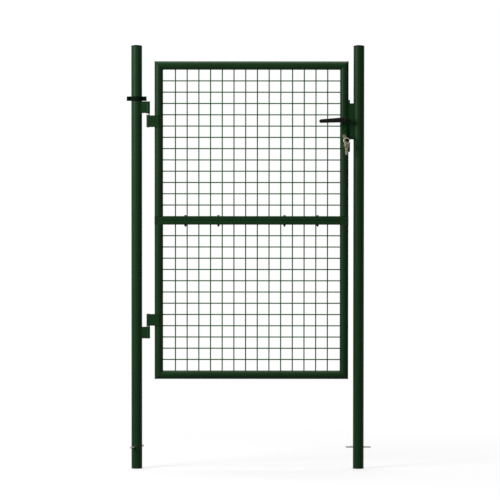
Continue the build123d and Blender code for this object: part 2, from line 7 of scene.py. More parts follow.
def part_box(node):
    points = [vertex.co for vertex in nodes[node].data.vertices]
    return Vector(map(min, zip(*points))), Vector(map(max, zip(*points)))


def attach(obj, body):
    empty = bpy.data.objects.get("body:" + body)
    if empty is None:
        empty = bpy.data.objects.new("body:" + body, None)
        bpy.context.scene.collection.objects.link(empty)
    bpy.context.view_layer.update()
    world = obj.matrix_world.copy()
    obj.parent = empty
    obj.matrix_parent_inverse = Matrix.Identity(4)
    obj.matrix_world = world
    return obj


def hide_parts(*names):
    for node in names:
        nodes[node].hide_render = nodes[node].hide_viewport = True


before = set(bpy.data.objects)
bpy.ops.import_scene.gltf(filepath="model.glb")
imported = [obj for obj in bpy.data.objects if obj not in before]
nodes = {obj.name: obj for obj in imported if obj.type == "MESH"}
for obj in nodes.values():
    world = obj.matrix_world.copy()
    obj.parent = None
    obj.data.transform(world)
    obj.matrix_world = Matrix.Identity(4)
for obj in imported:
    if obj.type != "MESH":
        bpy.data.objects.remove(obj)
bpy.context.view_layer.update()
mm = 0.001
print("frame loaded:", len(nodes), "nodes")


def boxOf(node):
    low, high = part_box(node)
    return Vector(low), Vector(high)


def linear(hexColour):
    # an sRGB hex colour as the linear values that a shader takes
    channels = [int(hexColour[i:i + 2], 16) / 255 for i in (1, 3, 5)]
    return tuple(c / 12.92 if c <= 0.04045 else ((c + 0.055) / 1.055) ** 2.4 for c in channels) + (1.0,)


def addNode(tree, kind, settings=None, inputs=None, output=None):
    # sets or links the inputs, and gives back the node or the output that is asked for
    node = tree.nodes.new(kind)
    for name, value in (settings or {}).items():
        setattr(node, name, value)
    for name, value in (inputs or {}).items():
        if isinstance(value, bpy.types.NodeSocket):
            tree.links.new(value, node.inputs[name])
        else:
            node.inputs[name].default_value = value
    return node.outputs[output] if output else node


add, subtract, multiply, greater = (
    {"operation": kind} for kind in ("ADD", "SUBTRACT", "MULTIPLY", "MAXIMUM"))


def newMaterial(name):
    material = bpy.data.materials.new(name)
    material.use_nodes = True
    material.node_tree.nodes.clear()
    return material, material.node_tree


skinPattern = {"driftDetail": 3.0, "driftRoughness": 0.55, "deepUpTo": 0.35, "baseFrom": 0.65,
               "grainRoughness": 0.5, "bumpStrength": 0.6, "wearDetail": 4.0, "wearFrom": 0.3, "wearTo": 0.7}


def skinMaterial(skin):
    # two near colours that drift into each other, a fine bump whose grain has a size and a depth,
    # and a roughness that is even, or drifts between two values over a patch of its own
    material, tree = newMaterial(skin["name"])
    spot = addNode(tree, "ShaderNodeTexCoord", output="Object")
    drift = addNode(tree, "ShaderNodeTexNoise", None, {
        "Vector": spot, "Scale": 1 / skin["patch"], "Detail": skinPattern["driftDetail"],
        "Roughness": skinPattern["driftRoughness"]}, "Fac")
    ramp = addNode(tree, "ShaderNodeValToRGB", None, {"Fac": drift})
    deepStop, baseStop = ramp.color_ramp.elements
    deepStop.position, deepStop.color = skinPattern["deepUpTo"], linear(skin["deep"])
    baseStop.position, baseStop.color = skinPattern["baseFrom"], linear(skin["base"])
    grain = addNode(tree, "ShaderNodeTexNoise", None, {
        "Vector": spot, "Scale": 1 / skin["grain"], "Detail": skin["grainDetail"],
        "Roughness": skinPattern["grainRoughness"]}, "Fac")
    bump = addNode(tree, "ShaderNodeBump", None, {
        "Height": grain, "Strength": skinPattern["bumpStrength"], "Distance": skin["depth"]}, "Normal")
    rough = skin["rough"]
    if "wearPatch" in skin:
        wear = addNode(tree, "ShaderNodeTexNoise", None, {
            "Vector": spot, "Scale": 1 / skin["wearPatch"], "Detail": skinPattern["wearDetail"]}, "Fac")
        rough = addNode(tree, "ShaderNodeMapRange", None, {
            "Value": wear, "From Min": skinPattern["wearFrom"], "From Max": skinPattern["wearTo"],
            "To Min": skin["rough"][0], "To Max": skin["rough"][1]}, "Result")
    shader = addNode(tree, "ShaderNodeBsdfPrincipled", None, {
        "Base Color": ramp.outputs["Color"], "Normal": bump, "Roughness": rough, **skin["shader"]}, "BSDF")
    addNode(tree, "ShaderNodeOutputMaterial", None, {"Surface": shader})
    return material


powderGloss = {"IOR": 1.42, "Specular IOR Level": 0.1}
bareMetal = {"Metallic": 1.0}

# polyester powder coat, sprayed and baked on steel: satin, with a soft orange peel;
# the real peel is 2 to 3 mm across and is drawn a little coarser so that it shows
powderCoat = {"name": "mossGreenPowderCoat", "deep": "#122E15", "base": "#153317", "patch": 240 * mm,
              "grain": 4.0 * mm, "depth": 0.05 * mm, "grainDetail": 2.0, "rough": (0.38, 0.46),
              "wearPatch": 40 * mm, "shader": powderGloss}
green = skinMaterial(powderCoat)

# the same powder on thin galvanised wire: it builds up thicker there and reads a clearer green
wireCoat = {"name": "mossGreenWireCoat", "deep": "#144C1E", "base": "#185824", "patch": 60 * mm,
            "grain": 2.0 * mm, "depth": 0.03 * mm, "grainDetail": 2.0, "rough": (0.4, 0.5),
            "wearPatch": 25 * mm, "shader": powderGloss}
wireGreen = skinMaterial(wireCoat)

# the same powder over welds and joining bolts: thin on the crests and pooled between, so it looks rougher
weldCoat = {"name": "mossGreenCoatOverWeld", "deep": "#152E18", "base": "#153317", "patch": 3 * mm,
            "grain": 0.8 * mm, "depth": 0.12 * mm, "grainDetail": 4.0, "rough": 0.5,
            "shader": powderGloss}
weldGreen = skinMaterial(weldCoat)

# polyethylene, injection moulded in a spark-eroded tool: a fine even grain, nearly matt
capPlastic = {"name": "blackMouldedPlastic", "deep": "#0A0C0B", "base": "#0F1110", "patch": 12 * mm,
              "grain": 0.6 * mm, "depth": 0.05 * mm, "grainDetail": 3.0, "rough": 0.7,
              "shader": {"Specular IOR Level": 0.06}}
capBlack = skinMaterial(capPlastic)

# stove-black lacquer on the die-cast levers and the lock's forend: satin, slightly pebbled
leverLacquer = {"name": "blackLacqueredCasting", "deep": "#0D0D0D", "base": "#131313", "patch": 18 * mm,
                "grain": 1.2 * mm, "depth": 0.04 * mm, "grainDetail": 3.0, "rough": (0.4, 0.5),
                "wearPatch": 15 * mm, "shader": {"Specular IOR Level": 0.08}}
leverBlack = skinMaterial(leverLacquer)

# the pipe clamp's thick dip coat: duller than the levers, with a trace of green
clampCoat = {"name": "blackDippedSteel", "deep": "#020C04", "base": "#041207", "patch": 15 * mm,
             "grain": 1.6 * mm, "depth": 0.05 * mm, "grainDetail": 3.0, "rough": 0.75,
             "shader": {"Specular IOR Level": 0.04}}
clampBlack = skinMaterial(clampCoat)

# dark green lacquer on the lock's backplates and pressed saddle: duller than the tubes, and its dark colour
# is painted shade, for the lever's shadow over the backplates and the shaded strip of saddle beside the
# forend
plateLacquerPaintedShade = {"name": "darkGreenLacquer", "deep": "#0B2E0E", "base": "#0F3712", "patch": 18 * mm,
                "grain": 1.4 * mm, "depth": 0.04 * mm, "grainDetail": 3.0, "rough": 0.6,
                "shader": {"Specular IOR Level": 0.08}}
plateDarkPaintedShade = skinMaterial(plateLacquerPaintedShade)

# bright zinc electroplate with a clear passivate: an even grey, faintly blotched
zincPlate = {"name": "brightZincPlate", "deep": "#8C8E8A", "base": "#A8AAA5", "patch": 9 * mm,
             "grain": 0.7 * mm, "depth": 0.02 * mm, "grainDetail": 4.0, "rough": (0.36, 0.48),
             "wearPatch": 4.5 * mm, "shader": bareMetal}
zinc = skinMaterial(zincPlate)

# satin nickel over brass: warm grey, rubbed smooth by handling
nickelPlate = {"name": "satinNickelOnBrass", "deep": "#6E6B5D", "base": "#86826F", "patch": 6 * mm,
               "grain": 0.4 * mm, "depth": 0.01 * mm, "grainDetail": 4.0, "rough": (0.42, 0.54),
               "wearPatch": 3 * mm, "shader": bareMetal}
nickel = skinMaterial(nickelPlate)

# hard-drawn spring wire: bright, paler and glossier than the keys
ringWire = {"name": "brightSpringWire", "deep": "#B9B7B0", "base": "#D2D0C9", "patch": 5 * mm,
            "grain": 0.3 * mm, "depth": 0.006 * mm, "grainDetail": 4.0, "rough": (0.36, 0.46),
            "wearPatch": 2.5 * mm, "shader": bareMetal}
springWire = skinMaterial(ringWire)
print("materials ready")

# crease is the fold in degrees from which an edge stays hard, flatFold one that counts as flat;
# points closer than the two gaps are joined, in a CAD node and in a turned or drawn shape
edgeRule = {"crease": 35.0, "segments": 2, "flatWeight": 90, "flatFold": 0.6, "nodeGap": 0.004 * mm,
            "drawnGap": 0.01 * mm}


# a piece has its node's name, apart from these
ownNames = {"hinge_post": "hingePostTube", "latch_post": "latchPostTube", "upper_mesh": "upperWireMesh",
            "lower_mesh": "lowerWireMesh", "clamp_front": "clampFrontHalf", "clamp_rear": "clampRearHalf",
            "forend": "lockForend", "cylinder": "lockCylinder", "key": "keyInLock",
            "key_ring": "splitKeyRing"}


def pieceName(node):
    first, *others = node.split("_")
    return ownNames.get(node) or first + "".join(word.capitalize() for word in others)


def meshObject(name, mesh, material, sharp=edgeRule["crease"]):
    if material is not None and not mesh.materials:
        mesh.materials.append(material)
    mesh.shade_smooth()
    mesh.set_sharp_from_angle(angle=radians(sharp))
    piece = bpy.data.objects.new(name, mesh)
    bpy.context.scene.collection.objects.link(piece)
    return piece


def fromBmesh(name, bm, material, sharp=edgeRule["crease"]):
    bmesh.ops.recalc_face_normals(bm, faces=bm.faces)
    mesh = bpy.data.meshes.new(name)
    bm.to_mesh(mesh)
    bm.free()
    return meshObject(name, mesh, material, sharp)


def bake(piece):
    bpy.context.view_layer.update()
    evaluated = piece.evaluated_get(bpy.context.evaluated_depsgraph_get())
    mesh = bpy.data.meshes.new_from_object(evaluated)
    mesh.name = piece.name
    piece.modifiers.clear()
    piece.data = mesh
    return piece


def applyModifiers(piece, sharp=edgeRule["crease"]):
    bake(piece)
    piece.data.shade_smooth()
    piece.data.set_sharp_from_angle(angle=radians(sharp))
    return piece


def roundEdges(piece, width, segments=edgeRule["segments"], angle=edgeRule["crease"]):
    bevel = piece.modifiers.new("edges", "BEVEL")
    bevel.width = width
    bevel.segments = segments
    bevel.limit_method = "ANGLE"
    bevel.angle_limit = radians(angle)
    bevel.use_clamp_overlap = True
    applyModifiers(piece)
    # the flat faces keep their own direction, so that only the rounded edges catch the light
    weighted = piece.modifiers.new("flatFaces", "WEIGHTED_NORMAL")
    weighted.weight = edgeRule["flatWeight"]
    weighted.keep_sharp = True
    return bake(piece)


def cutAway(piece, cutter):
    cut = piece.modifiers.new("cut", "BOOLEAN")
    cut.object = cutter
    cut.solver = "EXACT"
    applyModifiers(piece)
    bpy.data.objects.remove(cutter)
    return piece


def joinPieces(name, pieces, material):
    bm = bmesh.new()
    for piece in pieces:
        bm.from_mesh(piece.data)
        bpy.data.objects.remove(piece)
    mesh = bpy.data.meshes.new(name)
    bm.to_mesh(mesh)
    bm.free()
    mesh.materials.clear()
    return meshObject(name, mesh, material)


def place(piece, body, slotName, *replaced):
    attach(piece, body)
    if replaced:
        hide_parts(*replaced)


def across(direction):
    # two unit vectors square to a direction and to each other, worked out from Y, or from X along Y
    direction = direction.normalized()
    side = Vector((0, 1, 0)) if abs(direction.y) < 0.9 else Vector((1, 0, 0))
    first = direction.cross(side).normalized()
    return first, direction.cross(first).normalized()


def addWall(bm, outerStart, outerEnd, innerStart, innerEnd):
    # the outside, the inside and both ends of a hollow bar, from its four rings of points
    for i in range(len(outerStart)):
        j = (i + 1) % len(outerStart)
        bm.faces.new((outerStart[i], outerStart[j], outerEnd[j], outerEnd[i]))
        bm.faces.new((innerStart[i], innerEnd[i], innerEnd[j], innerStart[j]))
        bm.faces.new((outerStart[i], innerStart[i], innerStart[j], outerStart[j]))
        bm.faces.new((outerEnd[i], outerEnd[j], innerEnd[j], innerEnd[i]))


def buildTube(node, start, end, outer, wall, count, startPlane=None, endPlane=None):
    # a tube whose ends are cut by planes through start and end, so mitres come out true
    start, end = Vector(start), Vector(end)
    run = (end - start).normalized()
    u, v = across(run)
    bm = bmesh.new()
    rings = []
    for radius in (outer, outer - wall):
        for point, plane in ((start, startPlane or run), (end, endPlane or run)):
            plane = Vector(plane)
            ring = []
            for i in range(count):
                turn = 2 * pi * i / count
                spot = start + radius * (cos(turn) * u + sin(turn) * v)
                along = (point - spot).dot(plane) / run.dot(plane)
                ring.append(bm.verts.new(spot + along * run))
            rings.append(ring)
    addWall(bm, *rings)
    return fromBmesh(pieceName(node), bm, green)


def joinRows(bm, rows):
    # faces from each row of points to the next; a row of one point gives triangles
    for low, high in zip(rows, rows[1:]):
        for i in range(len(low)):
            j = (i + 1) % len(low)
            corners = list(dict.fromkeys((low[i], low[j], high[j], high[i])))
            if len(corners) > 2:
                bm.faces.new(corners)


def lathe(bm, profile, origin, axis, count):
    # turns a profile of (radius, height) round an axis; a radius of zero closes the end
    u, v = across(Vector(axis))
    axis = Vector(axis).normalized()
    origin = Vector(origin)
    rows = []
    for radius, height in profile:
        centre = origin + axis * height
        if radius == 0:
            rows.append([bm.verts.new(centre)] * count)
            continue
        turns = [2 * pi * i / count for i in range(count)]
        rows.append([bm.verts.new(centre + radius * (cos(turn) * u + sin(turn) * v)) for turn in turns])
    joinRows(bm, rows)


def arc(centre, radius, start, end, steps):
    # points of a round stretch of a profile, angles in degrees
    turns = [radians(start + (end - start) * i / steps) for i in range(steps + 1)]
    return [(centre[0] + radius * cos(t), centre[1] + radius * sin(t)) for t in turns]


def soften(body, slotName, material, width, *softened):
    # CAD nodes of one body and finish, with their edges rounded: their triangles are joined up first
    for node in softened:
        mesh = nodes[node].data.copy()
        bm = bmesh.new()
        bm.from_mesh(mesh)
        bmesh.ops.remove_doubles(bm, verts=bm.verts, dist=edgeRule["nodeGap"])
        bmesh.ops.dissolve_limit(bm, angle_limit=radians(edgeRule["flatFold"]), verts=bm.verts,
                                 edges=bm.edges)
        bm.to_mesh(mesh)
        bm.free()
        mesh.materials.clear()
        place(roundEdges(meshObject(pieceName(node), mesh, material), width), body, slotName, node)


def coat(material, *coated):
    # CAD nodes that keep their own shape
    for node in coated:
        for slotOfNode in nodes[node].material_slots:
            slotOfNode.link = "OBJECT"
            slotOfNode.material = material


geometry, number, whole = "NodeSocketGeometry", "NodeSocketFloat", "NodeSocketInt"


def newTree(name, sizes):
    # a tree with named inputs for its sizes, listed by kind of socket, and for its material
    tree = bpy.data.node_groups.new(name, "GeometryNodeTree")
    for kind, labels in {geometry: ["Geometry"], **sizes, "NodeSocketMaterial": ["Material"]}.items():
        for label in labels:
            tree.interface.new_socket(label, in_out="INPUT", socket_type=kind)
    tree.interface.new_socket("Geometry", in_out="OUTPUT", socket_type=geometry)
    return tree, addNode(tree, "NodeGroupInput").outputs


def closeTree(tree, given, shape):
    real = addNode(tree, "GeometryNodeRealizeInstances", None, {"Geometry": shape}, "Geometry")
    painted = addNode(tree, "GeometryNodeSetMaterial", None,
                      {"Geometry": real, "Material": given["Material"]}, "Geometry")
    addNode(tree, "NodeGroupOutput", None, {"Geometry": painted})


def growPiece(name, base, tree, sizes, sharp=edgeRule["crease"]):
    # runs a tree on a base mesh and keeps the result as a plain mesh
    piece = bpy.data.objects.new(name, base)
    bpy.context.scene.collection.objects.link(piece)
    modifier = piece.modifiers.new(name, "NODES")
    modifier.node_group = tree
    for item in tree.interface.items_tree:
        if item.in_out == "INPUT" and item.name in sizes:
            modifier[item.identifier] = sizes[item.name]
    return applyModifiers(piece, sharp)


wireShape = {"sides": 14, "nuggetRounds": 2, "nuggetSpread": (1.45, 1.05, 1.45)}


def wireMeshTree():
    # a welded mesh in its own plane: rows of wire each way, with a nugget at each crossing
    tree, given = newTree("weldedWireMesh", {
        number: ["Width", "Height", "Column Pitch", "Row Pitch", "Wire Radius", "Lay", "Nugget"],
        whole: ["Columns", "Rows"]})

    def wires(countName, pitchName, lengthName, lay, turn, lineAxis):
        bar = addNode(tree, "GeometryNodeMeshCylinder", {"fill_type": "NGON"}, {
            "Vertices": wireShape["sides"], "Radius": given["Wire Radius"],
            "Depth": given[lengthName]}, "Mesh")
        gaps = addNode(tree, "ShaderNodeMath", subtract, {0: given[countName], 1: 1.0}, "Value")
        reach = addNode(tree, "ShaderNodeMath", multiply, {0: given[pitchName], 1: gaps}, "Value")
        first = addNode(tree, "ShaderNodeMath", multiply, {0: reach, 1: -0.5}, "Value")
        begin = addNode(tree, "ShaderNodeCombineXYZ", None, {"Y": lay, lineAxis: first}, "Vector")
        step = addNode(tree, "ShaderNodeCombineXYZ", None, {lineAxis: given[pitchName]}, "Vector")
        line = addNode(tree, "GeometryNodeMeshLine", None,
                       {"Count": given[countName], "Start Location": begin, "Offset": step}, "Mesh")
        rows = addNode(tree, "GeometryNodeInstanceOnPoints", None,
                       {"Points": line, "Instance": bar, "Rotation": turn}, "Instances")
        return rows, line

    front = addNode(tree, "ShaderNodeMath", multiply, {0: given["Lay"], 1: -1.0}, "Value")
    uprights, uprightFeet = wires("Columns", "Column Pitch", "Height", given["Lay"], (0, 0, 0), "X")
    crosswires, crosswireEnds = wires("Rows", "Row Pitch", "Width", front, (0, pi / 2, 0), "Z")
    bead = addNode(tree, "GeometryNodeMeshIcoSphere", None,
                   {"Radius": given["Nugget"], "Subdivisions": wireShape["nuggetRounds"]}, "Mesh")
    flat = addNode(tree, "GeometryNodeTransform", None,
                   {"Geometry": bead, "Scale": wireShape["nuggetSpread"]}, "Geometry")
    # one row of nuggets, then that row repeated up the panel
    nuggetRow = addNode(tree, "GeometryNodeInstanceOnPoints", None,
                        {"Points": uprightFeet, "Instance": flat}, "Instances")
    lowered = addNode(tree, "ShaderNodeCombineXYZ", None, {"Y": front}, "Vector")
    rowOfNuggets = addNode(tree, "GeometryNodeTransform", None,
                           {"Geometry": nuggetRow, "Translation": lowered}, "Geometry")
    lift = addNode(tree, "ShaderNodeCombineXYZ", None, {"Y": given["Lay"]}, "Vector")
    rowFeet = addNode(tree, "GeometryNodeTransform", None,
                      {"Geometry": crosswireEnds, "Translation": lift}, "Geometry")
    nuggets = addNode(tree, "GeometryNodeInstanceOnPoints", None,
                      {"Points": rowFeet, "Instance": rowOfNuggets}, "Instances")
    joined = addNode(tree, "GeometryNodeJoinGeometry")
    for part in (nuggets, crosswires, uprights):
        tree.links.new(part, joined.inputs[0])
    closeTree(tree, given, joined.outputs["Geometry"])
    return tree


ripple = {"segments": 10, "rings": 6, "overlap": 2.4}


def weldBeadTree():
    # overlapping ripples laid along the edges of the base mesh, like a hand-run seam
    tree, given = newTree("weldBead", {
        number: ["Bead Width", "Bead Height", "Ripple Pitch", "Unevenness"], whole: ["Seed"]})
    seam = addNode(tree, "GeometryNodeMeshToCurve", None, {"Mesh": given["Geometry"]}, "Curve")
    ripples = addNode(tree, "GeometryNodeCurveToPoints", {"mode": "LENGTH"},
                      {"Curve": seam, "Length": given["Ripple Pitch"]}).outputs
    drop = addNode(tree, "GeometryNodeMeshUVSphere", None,
                   {"Segments": ripple["segments"], "Rings": ripple["rings"], "Radius": 0.5}, "Mesh")
    longer = addNode(tree, "ShaderNodeMath", multiply,
                     {0: given["Ripple Pitch"], 1: ripple["overlap"]}, "Value")
    shape = addNode(tree, "ShaderNodeCombineXYZ", None,
                    {"X": given["Bead Height"], "Y": given["Bead Width"], "Z": longer}, "Vector")
    least = addNode(tree, "ShaderNodeMath", subtract, {0: 1.0, 1: given["Unevenness"]}, "Value")
    most = addNode(tree, "ShaderNodeMath", add, {0: 1.0, 1: given["Unevenness"]}, "Value")
    swell = addNode(tree, "FunctionNodeRandomValue", {"data_type": "FLOAT"})
    # the node keeps a Min and a Max for each type of value: the ones for numbers are of type VALUE
    for socket in swell.inputs:
        if socket.type == "VALUE" and socket.name in ("Min", "Max"):
            tree.links.new(least if socket.name == "Min" else most, socket)
        if socket.name == "Seed":
            tree.links.new(given["Seed"], socket)
    swellOut = [socket for socket in swell.outputs if socket.type == "VALUE"][0]
    size = addNode(tree, "ShaderNodeVectorMath", {"operation": "SCALE"},
                   {0: shape, "Scale": swellOut}, "Vector")
    laid = addNode(tree, "GeometryNodeInstanceOnPoints", None,
                   {"Points": ripples["Points"], "Instance": drop, "Rotation": ripples["Rotation"],
                    "Scale": size}, "Instances")
    closeTree(tree, given, laid)
    return tree


def rowTree():
    # copies of one fastener at the points of the base mesh
    tree, given = newTree("rowOfFasteners", {"NodeSocketObject": ["Fastener"], "NodeSocketVector": ["Turn"]})
    source = addNode(tree, "GeometryNodeObjectInfo", {"transform_space": "ORIGINAL"},
                     {"Object": given["Fastener"]}, "Geometry")
    row = addNode(tree, "GeometryNodeInstanceOnPoints", None,
                  {"Points": given["Geometry"], "Instance": source, "Rotation": given["Turn"]}, "Instances")
    closeTree(tree, given, row)
    return tree


def coilTree():
    # a round wire wound into close turns; it also lays the ridge of a screw's thread
    tree, given = newTree("woundWire", {
        number: ["Turns", "Coil Radius", "Rise", "Wire Radius"], whole: ["Steps", "Sides"]})
    spiral = addNode(tree, "GeometryNodeCurveSpiral", None,
                     {"Resolution": given["Steps"], "Rotations": given["Turns"],
                      "Start Radius": given["Coil Radius"], "End Radius": given["Coil Radius"],
                      "Height": given["Rise"]}, "Curve")
    section = addNode(tree, "GeometryNodeCurvePrimitiveCircle", None,
                      {"Resolution": given["Sides"], "Radius": given["Wire Radius"]}, "Curve")
    wound = addNode(tree, "GeometryNodeCurveToMesh", None,
                    {"Curve": spiral, "Profile Curve": section, "Fill Caps": True}, "Mesh")
    closeTree(tree, given, wound)
    return tree


meshPanelNodes = wireMeshTree()
weldNodes = weldBeadTree()
rowNodes = rowTree()
coilNodes = coilTree()


def baseMesh(name, paths):
    # loose runs of edges, or single points, for a tree to work on
    mesh = bpy.data.meshes.new(name)
    spots, links = [], []
    for path in paths:
        first = len(spots)
        spots += [tuple(p) for p in path]
        links += [(first + i, first + i + 1) for i in range(len(path) - 1)]
    mesh.from_pydata(spots, links, [])
    return mesh


print("trees ready")

postTube = {"sides": 96, "wall": 1.5 * mm, "rodClearance": 0.4 * mm, "drillSides": 32}


def rodEnds(node):
    # the middles of the rod's two flat ends, and its radius
    low, high = boxOf(node)
    middle = (low + high) / 2
    spots = [v.co for v in nodes[node].data.vertices]
    far = max(spots, key=lambda p: hypot(p.x - middle.x, p.y - middle.y))
    side = [p for p in spots if (p - middle).dot(far - middle) > 0]
    end = sum(side, Vector()) / len(side)
    return middle * 2 - end, end, (high.z - low.z) / 2


def buildPost(node, rodNode):
    low, high = boxOf(node)
    centre = (low + high) / 2
    post = buildTube(node, (centre.x, centre.y, low.z), (centre.x, centre.y, high.z),
                     (high.x - low.x) / 2, postTube["wall"], postTube["sides"])
    # the rod's hole goes right through
    start, end, rodRadius = rodEnds(rodNode)
    hole, length = rodRadius + postTube["rodClearance"], (end - start).length
    bm = bmesh.new()
    lathe(bm, [(0, 0), (hole, 0), (hole, length), (0, length)], start, end - start, postTube["drillSides"])
    place(cutAway(post, fromBmesh("drill", bm, None)), "posts", "green_powder_coat", node)


buildPost("hinge_post", "hinge_post_anchor_rod")
buildPost("latch_post", "latch_post_anchor_rod")

anchorRod = {"sides": 40, "chamfer": 0.9 * mm, "trim": 0.03 * mm}


def buildAnchorRod(node):
    start, end, radius = rodEnds(node)
    trim = (end - start).normalized() * anchorRod["trim"]
    start, end = start + trim, end - trim
    length, edge = (end - start).length, anchorRod["chamfer"]
    profile = [(0, 0), (radius - edge, 0), (radius, edge), (radius, length - edge), (radius - edge, length),
               (0, length)]
    bm = bmesh.new()
    lathe(bm, profile, start, end - start, anchorRod["sides"])
    place(fromBmesh(pieceName(node), bm, zinc), "posts", "zinc_plated_steel", node)


buildAnchorRod("hinge_post_anchor_rod")
buildAnchorRod("latch_post_anchor_rod")

cap = {"rim": 4.0 * mm, "crown": 3.0 * mm, "shoulder": 1.6 * mm, "shoulderTurn": 65, "shoulderSteps": 5,
       "crownSteps": 10, "underEdge": 0.4 * mm, "plug": 18 * mm, "wall": 2.5 * mm, "gap": 1.6 * mm,
       "sides": 96, "crease": 30}


def buildCap(node):
    low, high = boxOf(node)
    centre = (low + high) / 2
    radius = (high.x - low.x) / 2
    top, edge, lip = high.z, cap["shoulder"], cap["underEdge"]
    shoulderTop = top - cap["crown"]
    base = shoulderTop - cap["rim"]
    plugRadius, plugEnd = radius - cap["gap"], base - cap["plug"]
    hollowRadius = plugRadius - cap["wall"]
    crownRadius = ((radius - edge) ** 2 + cap["crown"] ** 2) / (2 * cap["crown"])
    half = asin((radius - edge) / crownRadius)
    profile = [(hollowRadius, plugEnd), (plugRadius, plugEnd), (plugRadius, base), (radius - lip, base),
               (radius, base + lip)]
    profile += arc((radius - edge, shoulderTop - edge), edge, 0, cap["shoulderTurn"], cap["shoulderSteps"])
    # the crown is part of a sphere; its first point is drawn in to where the shoulder ends
    turns = [half * (1 - i / cap["crownSteps"]) for i in range(cap["crownSteps"])]
    crown = [(crownRadius * sin(turn), top - crownRadius * (1 - cos(turn))) for turn in turns]
    crown[0] = (crown[0][0] * (radius - 2 * edge) / (radius - edge), crown[0][1])
    profile += crown + [(0, top), (0, base), (hollowRadius, base), (hollowRadius, plugEnd)]
    bm = bmesh.new()
    lathe(bm, profile, (centre.x, centre.y, 0), (0, 0, 1), cap["sides"])
    bmesh.ops.remove_doubles(bm, verts=bm.verts, dist=edgeRule["drawnGap"])
    place(fromBmesh(pieceName(node), bm, capBlack, cap["crease"]), "posts", "black_plastic", node)


buildCap("hinge_post_cap")
buildCap("latch_post_cap")
print("posts built")

leafTube = {"sides": 80, "wall": 1.5 * mm, "slotMargin": 0.3 * mm, "slotPast": 2 * mm}
topLow, topHigh = boxOf("top_rail")
leafLeft, leafRight = topLow.x, topHigh.x
leafTop, leafBottom = topHigh.z, boxOf("bottom_rail")[0].z
tubeRadius = (topHigh.z - topLow.z) / 2
meetLow, meetHigh = boxOf("lower_meeting_rail")[0], boxOf("upper_meeting_rail")[1]
hingeStileX, latchStileX = leafLeft + tubeRadius, leafRight - tubeRadius
topRailZ, bottomRailZ = leafTop - tubeRadius, leafBottom + tubeRadius


def buildEndRail(node, z, slope):
    # slope is 1 for the top rail, whose mitres open downwards, and -1 for the bottom one
    rail = buildTube(node, (hingeStileX, 0, z), (latchStileX, 0, z), tubeRadius, leafTube["wall"],
                     leafTube["sides"], (1, 0, slope), (1, 0, -slope))
    place(rail, "leaf", "green_powder_coat", node)


def buildStile(node, x, side, top):
    low, high = boxOf(node)
    return buildTube(node, (x, 0, low.z if top else high.z), (x, 0, topRailZ if top else bottomRailZ),
                     tubeRadius, leafTube["wall"], leafTube["sides"], None, (side if top else -side, 0, 1))


def cutCaseSlot(stile):
    # the lock's case slot, cut square through the side that faces the latch post
    low, high = boxOf("lock_case")
    margin = leafTube["slotMargin"]
    bm = bmesh.new()
    bmesh.ops.create_cube(bm, size=1.0)
    for vert in bm.verts:
        vert.co = Vector((latchStileX if vert.co.x < 0 else leafRight + leafTube["slotPast"],
                          (low.y - margin) if vert.co.y < 0 else (high.y + margin),
                          (low.z - margin) if vert.co.z < 0 else (high.z + margin)))
    return cutAway(stile, fromBmesh("slotCutter", bm, None))


buildEndRail("top_rail", topRailZ, 1)
buildEndRail("bottom_rail", bottomRailZ, -1)
for node, x, side, top in (
        ("upper_hinge_stile", hingeStileX, 1, True), ("lower_hinge_stile", hingeStileX, 1, False),
        ("lower_latch_stile", latchStileX, -1, False), ("upper_latch_stile", latchStileX, -1, True)):
    stile = buildStile(node, x, side, top)
    if node == "upper_latch_stile":
        stile = cutCaseSlot(stile)
    place(stile, "leaf", "green_powder_coat", node)

meetingRail = {"corner": 2.6 * mm, "wall": 1.5 * mm, "cornerSteps": 6}


def roundedSection(halfDepth, halfHeight, corner):
    spots = []
    for cy, cz, start in ((1, 1, 0), (-1, 1, 90), (-1, -1, 180), (1, -1, 270)):
        spots += arc((cy * (halfDepth - corner), cz * (halfHeight - corner)), corner, start, start + 90,
                     meetingRail["cornerSteps"])
    return spots


def buildMeetingRail(node):
    low, high = boxOf(node)
    half = (high - low) / 2
    centre = (high + low) / 2
    wall, corner = meetingRail["wall"], meetingRail["corner"]
    sections = (roundedSection(half.y, half.z, corner),
                roundedSection(half.y - wall, half.z - wall, corner - wall))
    bm = bmesh.new()
    addWall(bm, *([bm.verts.new((x, centre.y + y, centre.z + z)) for y, z in section]
                  for section in sections for x in (low.x, high.x)))
    place(fromBmesh(pieceName(node), bm, green), "leaf", "green_powder_coat", node)


buildMeetingRail("upper_meeting_rail")
buildMeetingRail("lower_meeting_rail")

# bite is how deep crossing wires sink into each other, intoFrame how far their ends go into the tubes
wireMesh = {"columns": 14, "rows": 12, "columnPitch": 51.9 * mm, "rowPitch": 50.0 * mm,
            "coat": 0.6 * mm, "bite": 0.8 * mm, "nugget": 0.97, "intoFrame": 1.2 * mm}


def buildMeshPanel(node):
    low, high = boxOf(node)
    name = pieceName(node)
    centre = (low + high) / 2
    radius = (high.y - low.y) / 4 + wireMesh["coat"]
    panel = growPiece(name, bpy.data.meshes.new(name), meshPanelNodes, {
        "Width": high.x - low.x + 2 * wireMesh["intoFrame"],
        "Height": high.z - low.z + 2 * wireMesh["intoFrame"],
        "Columns": wireMesh["columns"], "Rows": wireMesh["rows"],
        "Column Pitch": wireMesh["columnPitch"], "Row Pitch": wireMesh["rowPitch"],
        "Wire Radius": radius, "Lay": radius - wireMesh["bite"], "Nugget": radius * wireMesh["nugget"],
        "Material": wireGreen})
    panel.data.transform(Matrix.Translation(centre))
    place(panel, "leaf", "green_powder_coat", node)


buildMeshPanel("upper_mesh")
buildMeshPanel("lower_mesh")
print("leaf frames and mesh built")

seamRun = {"pitch": 1.3 * mm, "unevenness": 0.14, "step": 4 * mm, "crease": 60}


